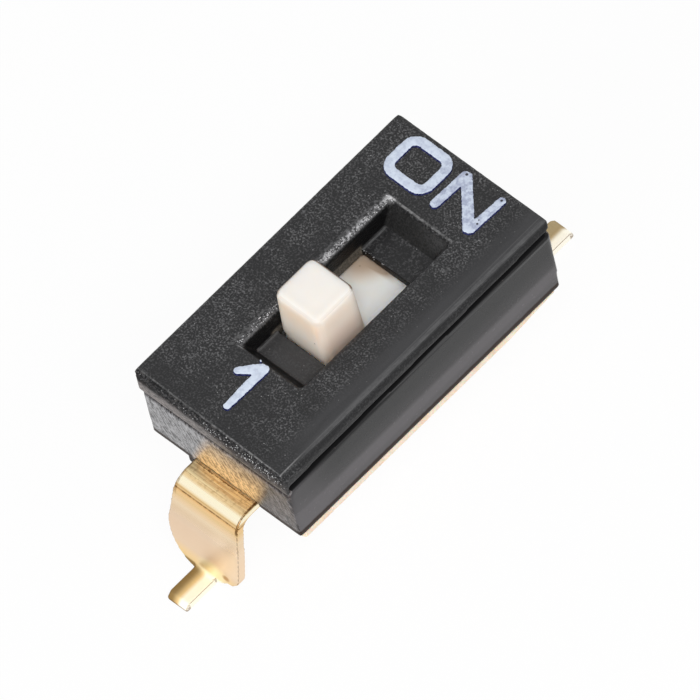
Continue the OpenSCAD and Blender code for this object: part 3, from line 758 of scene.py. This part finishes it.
def goldFinish():
    look = goldLook
    f = Finish("goldPlate", look["plain"], look["roughness"], Metallic=1.0)
    across = f.group(streakGroup, Stretch=(1.0, 0.035, 0.035))["Height"]
    mottle = f.group(pebbleGroup, Size=0.06, Points=0.0)["Height"]
    uneven = f.lean(calc(f.tree, "SUBTRACT", across, 0.5), 0.02, f.z)
    onStub = f.step(f.z, 1.90, 1.94)
    onFoot = f.step(f.z, 0.25, 0.18)
    # the gold's colour with painted reflections, in bands by height
    f.colour = heightColours(f, uneven)
    f.paint(look["cloud"], f.step(f.noise(0.6, 2.0, 0.5), 0.35, 0.7), f.step(f.z, 1.7, 1.5), 0.2)
    f.paint(look["stubStreak"], f.step(across, 0.55, 0.42), onStub, 0.55)
    f.paint(look["stubMottle"], f.step(mottle, 0.52, 0.62), onStub, 0.42)
    footPaint(f, onFoot)
    neckPaint(f)
    outlinePaint(f, mottle, uneven, onStub)
    return f.finish(f.plus(f.times(across, 0.14), f.times(onFoot, 0.3), f.times(onStub, 0.25),
                           f.step(f.z, 1.25, 0.85, 0.0, 0.24), look["roughness"] - 0.06),
                    f.bump(f.times(across, f.step(f.z, 1.80, 1.92, 0.1, 1.0)), 0.006))


# seal: cloudy cream resin
resinLook = {"plain": (0.80, 0.68, 0.57), "pale": (0.88, 0.75, 0.60), "deep": (0.80, 0.62, 0.45),
             "roughness": 0.35}


def resinFinish():
    look = resinLook
    f = Finish("sealResin", look["plain"], look["roughness"], Subsurface_Weight=0.3,
               Subsurface_Scale=0.15 * mm)
    grain = f.group(pebbleGroup, Size=0.15, Points=0.02)
    f.colour = look["pale"]
    f.paint(look["deep"], f.step(f.noise(0.35, 3.0, 0.6), 0.35, 0.7))
    return f.finish(f.lean(grain["Height"], 0.2, look["roughness"] - 0.1), f.bump(grain["Height"], 0.006))


# ink: white, thin in patches, with a painted shadow as a dark blue fringe under it; a pinhole is x, y and
# radius
inkLook = {"white": (0.60, 0.67, 0.79), "thin": (0.34, 0.38, 0.51), "bright": (0.82, 0.88, 0.97),
           "hole": (0.02, 0.02, 0.03), "fringe": (0.008, 0.011, 0.058), "fringePale": (0.03, 0.035, 0.12),
           "pinholes": ((0.027, 3.081, 0.020), (0.846, 3.067, 0.018), (0.840, 2.473, 0.014),
                        (0.81, 2.545, 0.008))}


def inkFinish():
    look = inkLook
    f = Finish("whiteInk", look["white"], 0.45)
    grain = f.group(pebbleGroup, Size=0.045, Points=0.0)
    far = f.times(f.step(f.y, 2.2, 2.4), f.step(f.x, -0.7, 0.1))       # thinner towards the word's +X end
    thin = f.times(f.step(f.noise(0.13, 3.0, 0.6), 0.42, 0.62), f.plus(f.times(far, 0.6), 0.4))
    f.paint(look["thin"], f.plus(thin, f.times(far, 0.25)))
    f.paint(look["bright"], grain["Crisp"], 0.22)
    for x, y, radius in look["pinholes"]:
        f.paint(look["hole"], f.near((x, y, coverTop + 0.012), radius, 0.012))
    return f.finish(f.lean(grain["Height"], 0.3, 0.3), f.bump(grain["Height"], 0.006))


# painted shadow: the dark blue fringe beside the ink
def fringeFinish():
    f = Finish("inkFringe", inkLook["fringe"], 0.5, Specular_IOR_Level=0.08)
    grain = f.group(pebbleGroup, Size=0.05, Points=0.0)
    f.paint(inkLook["fringePale"], grain["Crisp"])
    return f.finish(f.lean(grain["Height"], 0.3, 0.35))


# burrs: torn bits of the cover's plastic that catch the light, painted pale as glints
burrLook = {"plain": (0.75, 0.76, 0.78), "dark": (0.20, 0.20, 0.21), "bright": (0.9, 0.9, 0.92),
            "size": 0.013, "density": 900.0, "seed": 4}


def burrFinish():
    # painted glints: the burrs are coloured pale, not black like the cover
    f = Finish("burrGlintPlastic", burrLook["plain"], 0.3)
    grain = f.group(pebbleGroup, Size=0.03, Points=0.0)
    f.colour = burrLook["dark"]
    f.paint(burrLook["bright"], grain["Crisp"])
    return f.finish()


coverPlastic = coverFinish()
basePlastic = baseFinish()
sliderPlastic = sliderFinish()
goldPlate = goldFinish()
sealResin = resinFinish()
whiteInk = inkFinish()
inkFringe = fringeFinish()
burrGlintPlastic = burrFinish()
print("materials made")


# skins over the moulded and bent pieces

def skinOf(nodeName, voxel, relax):
    # one closed skin of small even faces over a copy of a CAD node, in millimetres
    mesh = bpy.data.meshes.new(nodeName + "Work")
    work = bmesh.new()
    work.from_mesh(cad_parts[nodeName].data)
    bmesh.ops.remove_doubles(work, verts=work.verts, dist=1e-8)
    bmesh.ops.scale(work, vec=(1 / mm, 1 / mm, 1 / mm), verts=work.verts)
    work.to_mesh(mesh)
    work.free()
    obj = bpy.data.objects.new(nodeName + "Work", mesh)
    bpy.context.scene.collection.objects.link(obj)
    remesh = obj.modifiers.new("remesh", "REMESH")
    remesh.mode = "VOXEL"
    remesh.voxel_size = voxel
    smooth = obj.modifiers.new("relax", "SMOOTH")
    smooth.factor = 0.5
    smooth.iterations = relax
    return obj


def pushAlong(tree, geometry, normal, amount):
    # moves every point along its normal
    push = addNode(tree, "ShaderNodeVectorMath", {0: normal}, operation="SCALE")
    tree.links.new(amount, push.inputs["Scale"])
    moved = addNode(tree, "GeometryNodeSetPosition", {"Geometry": geometry, "Offset": push.outputs[0]})
    return moved.outputs[0]


def storedNumber(tree, name):
    node = addNode(tree, "GeometryNodeInputNamedAttribute", data_type="FLOAT", Name=name)
    return node.outputs["Attribute"]


def closeTree(tree, geometry, start, end):
    # the ending that all geometry trees share: real faces in the piece's material
    real = addNode(tree, "GeometryNodeRealizeInstances", {"Geometry": geometry})
    done = addNode(tree, "GeometryNodeSetMaterial", {"Geometry": real.outputs[0],
                                                     "Material": start.outputs["Material"]})
    tree.links.new(done.outputs[0], end.inputs["Geometry"])
    return tree


def makeMouldGrainTree():
    # pushes the skin in by an uneven amount: fine grain on the outside of the cover,
    # deeper tears under its front edge and along the well's -X edge
    tree, start, end = newGroup(
        "mouldGrain", "GeometryNodeTree",
        [("Geometry", "NodeSocketGeometry", None), ("Grain Size", "NodeSocketFloat", 0.07),
         ("Grain Depth", "NodeSocketFloat", 0.008), ("Tear Depth", "NodeSocketFloat", 0.03),
         ("Top", "NodeSocketFloat", coverTop), ("Front", "NodeSocketFloat", coverFront),
         ("Well Edge", "NodeSocketFloat", -0.75), ("Material", "NodeSocketMaterial", None)],
        [("Geometry", "NodeSocketGeometry")])
    place = addNode(tree, "GeometryNodeInputPosition").outputs[0]
    normal = addNode(tree, "GeometryNodeInputNormal").outputs["Normal"]
    split = addNode(tree, "ShaderNodeSeparateXYZ", {0: place})
    x, y, z = split.outputs
    scaled = addNode(tree, "ShaderNodeVectorMath", {0: place}, operation="SCALE")
    tree.links.new(calc(tree, "DIVIDE", 1.0, start.outputs["Grain Size"]), scaled.inputs["Scale"])
    pebbles = noise(tree, scaled.outputs[0], 1.0, 2.0, 0.55)
    depthBelow = calc(tree, "SUBTRACT", start.outputs["Top"], z)
    coarse = ramp(tree, x, 0.7, 1.35, 1.0, 0.25)
    outside = ramp(tree, depthBelow, 0.5, 0.7, 1.0, 0.0)
    fine = calc(tree, "MULTIPLY", calc(tree, "MULTIPLY", pebbles, coarse),
                calc(tree, "MULTIPLY", outside, start.outputs["Grain Depth"]))
    fromFront = calc(tree, "SUBTRACT", y, start.outputs["Front"])
    underLip = calc(tree, "MULTIPLY", ramp(tree, depthBelow, 0.02, 0.07), ramp(tree, depthBelow, 0.22, 0.17))
    atFront = calc(tree, "MULTIPLY", ramp(tree, fromFront, 0.1, 0.03), underLip)
    fromWell = calc(tree, "ABSOLUTE", calc(tree, "SUBTRACT", x, start.outputs["Well Edge"]))
    byWell = calc(tree, "MULTIPLY", ramp(tree, fromWell, 0.1, 0.04), ramp(tree, depthBelow, 0.12, 0.02))
    inWell = ramp(tree, calc(tree, "ABSOLUTE", y), 1.95, 1.8)
    torn = calc(tree, "ADD", atFront, calc(tree, "MULTIPLY", byWell, inWell), clamp=True)
    deep = calc(tree, "MULTIPLY", calc(tree, "MULTIPLY", torn, ramp(tree, pebbles, 0.38, 0.62)),
                start.outputs["Tear Depth"])
    inwards = calc(tree, "MULTIPLY", calc(tree, "ADD", fine, deep), -1.0)
    return closeTree(tree, pushAlong(tree, start.outputs["Geometry"], normal, inwards), start, end)


# voxel size of each skin, and how far the knob's -X face leans out, in millimetres
skins = {"cover": 0.033, "base": 0.036, "slider": 0.026, "terminal": 0.021, "knobLean": 0.06}


def makeCover():
    work = skinOf("cover", skins["cover"], 2)
    withTree(work, makeMouldGrainTree(), **{"Grain Size": 0.075, "Grain Depth": 0.008, "Tear Depth": 0.03,
                                           "Material": coverPlastic})
    finishPiece(asPlainMesh(work, "coverSkin"), "housing", "cover_plastic", [coverPlastic], "cover")


def makeBase():
    work = skinOf("base", skins["base"], 2)
    finishPiece(asPlainMesh(work, "baseSkin"), "housing", "base_plastic", [basePlastic], "base")


def makeSlider():
    skin = asPlainMesh(skinOf("slider", skins["slider"], 14), "sliderSkin")
    # the knob's -X face stands a little further out than a square block's
    for vertex in skin.data.vertices:
        if vertex.co.z > coverTop - 0.5:
            share = min(max((0.3 - vertex.co.x) / 0.6, 0.0), 1.0)
            vertex.co.x -= skins["knobLean"] * share
    finishPiece(skin, "slider", "slider_plastic", [sliderPlastic], "slider")


def makeTerminal(side):
    work = skinOf(side + "_terminal", skins["terminal"], 4)
    finishPiece(asPlainMesh(work, side + "TerminalSkin"), "housing", "gold_plate", [goldPlate],
                side + "_terminal")


makeCover()
makeBase()
makeSlider()
makeTerminal("front")
makeTerminal("rear")
print("skins made")


# ink: boxes and pens in millimetres; a stroke point is x, y and the pen's radius there
printLook = {"thickness": 0.013, "voxel": 0.014, "wobble": 0.022, "wobbleSize": 0.05,
             "fringeShift": (0.019, -0.022), "fringeGrow": 0.004,
             "oBox": (-1.187, -0.320, 2.336, 3.085), "oRadius": 0.20, "oPen": 0.092}


def roundedRing(x0, x1, y0, y1, radius, pen, steps=8):
    corners = ((x1 - radius, y1 - radius, 0), (x0 + radius, y1 - radius, 90),
               (x0 + radius, y0 + radius, 180), (x1 - radius, y0 + radius, 270))
    ring = []
    for cx, cy, first in corners:
        for step in range(steps + 1):
            angle = math.radians(first + 90 * step / steps)
            ring.append((cx + radius * math.cos(angle), cy + radius * math.sin(angle), pen))
    return ring + ring[:1]


wordStrokes = (
    roundedRing(*printLook["oBox"], printLook["oRadius"], printLook["oPen"]),
    ((-0.005, 2.334, 0.087), (0.017, 3.056, 0.087)),
    ((0.055, 3.046, 0.097), (0.775, 2.326, 0.102)),
    ((0.815, 2.322, 0.084), (0.850, 3.060, 0.076)))
figureStrokes = (
    ((-0.004, -1.868, 0.086), (-0.010, -2.30, 0.084), (-0.002, -2.785, 0.066)),
    ((-0.05, -1.90, 0.110), (-0.16, -1.99, 0.098), (-0.350, -2.165, 0.067)),
    ((-0.185, -1.778, 0.015), (-0.160, -1.785, 0.018)))


def makePenTree():
    # a round pen drawn along paths: each path point carries its own pen radius
    tree, start, end = newGroup(
        "penStrokes", "GeometryNodeTree",
        [("Geometry", "NodeSocketGeometry", None), ("Step", "NodeSocketFloat", 0.02),
         ("Material", "NodeSocketMaterial", None)],
        [("Geometry", "NodeSocketGeometry")])
    curve = addNode(tree, "GeometryNodeMeshToCurve", {"Mesh": start.outputs["Geometry"]})
    even = addNode(tree, "GeometryNodeResampleCurve", {"Curve": curve.outputs[0]}, mode="LENGTH")
    tree.links.new(start.outputs["Step"], even.inputs["Length"])
    pen = storedNumber(tree, "pen")
    circle = addNode(tree, "GeometryNodeCurvePrimitiveCircle", Resolution=24, Radius=1.0)
    tube = addNode(tree, "GeometryNodeCurveToMesh",
                   {"Curve": even.outputs[0], "Profile Curve": circle.outputs[0], "Scale": pen})
    tube.inputs["Fill Caps"].default_value = True
    ends = addNode(tree, "GeometryNodeCurveEndpointSelection")
    ball = addNode(tree, "GeometryNodeMeshIcoSphere", Radius=1.0, Subdivisions=4)
    caps = addNode(tree, "GeometryNodeInstanceOnPoints",
                   {"Points": even.outputs[0], "Selection": ends.outputs[0], "Instance": ball.outputs[0],
                    "Scale": pen})
    both = addNode(tree, "GeometryNodeJoinGeometry")
    tree.links.new(tube.outputs[0], both.inputs[0])
    tree.links.new(caps.outputs[0], both.inputs[0])
    return closeTree(tree, both.outputs[0], start, end)


def makeWobbleTree():
    # lets the ink's outline run a little unevenly
    tree, start, end = newGroup(
        "inkWobble", "GeometryNodeTree",
        [("Geometry", "NodeSocketGeometry", None), ("Amount", "NodeSocketFloat", 0.012),
         ("Size", "NodeSocketFloat", 0.07), ("Grow", "NodeSocketFloat", 0.0),
         ("Material", "NodeSocketMaterial", None)],
        [("Geometry", "NodeSocketGeometry")])
    place = addNode(tree, "GeometryNodeInputPosition").outputs[0]
    normal = addNode(tree, "GeometryNodeInputNormal").outputs["Normal"]
    scaled = addNode(tree, "ShaderNodeVectorMath", {0: place}, operation="SCALE")
    tree.links.new(calc(tree, "DIVIDE", 1.0, start.outputs["Size"]), scaled.inputs["Scale"])
    waves = calc(tree, "SUBTRACT", noise(tree, scaled.outputs[0], 1.0, 3.0, 0.6), 0.5)
    uneven = calc(tree, "MULTIPLY", waves, start.outputs["Amount"])
    amount = calc(tree, "ADD", calc(tree, "MULTIPLY", uneven, 2.0), start.outputs["Grow"])
    return closeTree(tree, pushAlong(tree, start.outputs["Geometry"], normal, amount), start, end)


penTree = makePenTree()
wobbleTree = makeWobbleTree()


def inkLayer(name, strokes, material, grow, shift, bottom, top):
    # round strokes fused to one body, then pressed flat between two heights
    mesh = bpy.data.meshes.new(name)
    points, edges, pens = [], [], []
    for stroke in strokes:
        first = len(points)
        points += [(x, y, 0) for x, y, pen in stroke]
        pens += [pen for x, y, pen in stroke]
        edges += [(i, i + 1) for i in range(first, len(points) - 1)]
    mesh.from_pydata(points, edges, [])
    mesh.attributes.new("pen", "FLOAT", "POINT").data.foreach_set("value", pens)
    obj = bpy.data.objects.new(name, mesh)
    bpy.context.scene.collection.objects.link(obj)
    withTree(obj, penTree, Step=0.02, Material=material)
    fused = obj.modifiers.new("remesh", "REMESH")
    fused.mode = "VOXEL"
    fused.voxel_size = printLook["voxel"]
    smooth = obj.modifiers.new("relax", "SMOOTH")
    smooth.factor = 0.5
    smooth.iterations = 3
    withTree(obj, wobbleTree, Amount=printLook["wobble"], Size=printLook["wobbleSize"], Grow=grow,
             Material=material)
    layer = asPlainMesh(obj, name)
    low = min(v.co.z for v in layer.data.vertices)
    high = max(v.co.z for v in layer.data.vertices)
    for vertex in layer.data.vertices:
        height = (vertex.co.z - low) / (high - low)
        vertex.co = (vertex.co.x + shift[0], vertex.co.y + shift[1], bottom + (top - bottom) * height)
    return layer


def makePrint(name, strokes, node):
    look = printLook
    white = inkLayer(name, strokes, whiteInk, 0.0, (0, 0), coverTop - 0.004, coverTop + look["thickness"])
    # painted shadow: a dark blue layer under the white one, shifted out towards +X and -Y
    fringe = inkLayer(name + "Fringe", strokes, inkFringe, look["fringeGrow"], look["fringeShift"],
                      coverTop - 0.006, coverTop + look["thickness"] * 0.4)
    join = bmesh.new()
    join.from_mesh(white.data)
    whiteFaces = len(join.faces)
    join.from_mesh(fringe.data)
    for index, face in enumerate(join.faces):
        face.material_index = int(index >= whiteFaces)
    join.to_mesh(white.data)
    join.free()
    bpy.data.objects.remove(fringe)
    finishPiece(white, "housing", "white_ink", [whiteInk, inkFringe], node)


makePrint("onInk", wordStrokes, "on_print")
makePrint("oneInk", figureStrokes, "one_print")
print("ink made")


def randomVector(tree, seed, low, high):
    node = addNode(tree, "FunctionNodeRandomValue", {"Seed": seed}, data_type="FLOAT_VECTOR")
    node.inputs[0].default_value = low
    node.inputs[1].default_value = high
    return node.outputs[0]


def makeBurrTree():
    # tiny turned grains scattered over the faces of a strip, as dense as its share attribute says
    tree, start, end = newGroup(
        "edgeBurrs", "GeometryNodeTree",
        [("Geometry", "NodeSocketGeometry", None), ("Density", "NodeSocketFloat", 100.0),
         ("Size", "NodeSocketFloat", 0.013), ("Seed", "NodeSocketInt", 1),
         ("Material", "NodeSocketMaterial", None)],
        [("Geometry", "NodeSocketGeometry")])
    density = calc(tree, "MULTIPLY", start.outputs["Density"], storedNumber(tree, "share"))
    points = addNode(tree, "GeometryNodeDistributePointsOnFaces",
                     {"Mesh": start.outputs["Geometry"], "Density": density, "Seed": start.outputs["Seed"]})
    grain = addNode(tree, "GeometryNodeMeshIcoSphere", Subdivisions=1)
    tree.links.new(start.outputs["Size"], grain.inputs["Radius"])
    scale = randomVector(tree, start.outputs["Seed"], (0.3, 0.3, 0.3), (1.1, 1.1, 0.8))
    turn = randomVector(tree, start.outputs["Seed"], (0, 0, 0), (6.28, 6.28, 6.28))
    placed = addNode(tree, "GeometryNodeInstanceOnPoints",
                     {"Points": points.outputs[0], "Instance": grain.outputs[0], "Rotation": turn,
                      "Scale": scale})
    return closeTree(tree, placed.outputs[0], start, end)


# strips of burrs: two along the well's -X edge, two across the front and one at the slot's far end. Each has
# the two ends of its middle line, half its width as a vector, and its share of the density at both ends
edgeHeight = coverTop - 0.010
slotHeight = coverTop - 0.487
frontFace = coverFront + 0.012
burrStrips = (
    ((-0.73, -1.78, edgeHeight), (-0.73, -1.0, edgeHeight), (0.045, 0, -0.016), 1.0, 0.4),
    ((-0.73, -1.0, edgeHeight), (-0.71, 1.95, edgeHeight), (0.045, 0, -0.018), 0.5, 1.2),
    ((-1.35, frontFace, coverTop - 0.11), (-0.1, frontFace, coverTop - 0.11), (0, 0, 0.07), 0.04, 0.12),
    ((-0.1, frontFace, coverTop - 0.14), (1.62, frontFace, coverTop - 0.19), (0, 0, 0.11), 0.12, 0.38),
    ((-0.58, 1.085, slotHeight), (-0.1, 1.085, slotHeight), (0, 0.02, 0), 1.0, 0.3))


def makeBurrs():
    mesh = bpy.data.meshes.new("edgeBurrs")
    points, faces, shares = [], [], []
    for first, last, half, shareFirst, shareLast in burrStrips:
        count = len(points)
        first, last, half = Vector(first), Vector(last), Vector(half)
        points += [first - half, last - half, last + half, first + half]
        shares += [shareFirst, shareLast, shareLast, shareFirst]
        faces.append((count, count + 1, count + 2, count + 3))
    mesh.from_pydata(points, [], faces)
    mesh.attributes.new("share", "FLOAT", "POINT").data.foreach_set("value", shares)
    obj = bpy.data.objects.new("edgeBurrs", mesh)
    bpy.context.scene.collection.objects.link(obj)
    withTree(obj, makeBurrTree(), Density=burrLook["density"], Size=burrLook["size"], Seed=burrLook["seed"],
             Material=burrGlintPlastic)
    burrs = asPlainMesh(obj, "edgeBurrs")
    finishPiece(burrs, "housing", "cover_plastic", [burrGlintPlastic])


makeBurrs()
print("burrs made")


# two CAD nodes stay as they are, with new materials
for nodeName, material in (("moving_contact", goldPlate), ("resin_seal", sealResin)):
    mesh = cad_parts[nodeName].data
    mesh.materials.clear()
    mesh.materials.append(material)
print("contact and seal given their materials")
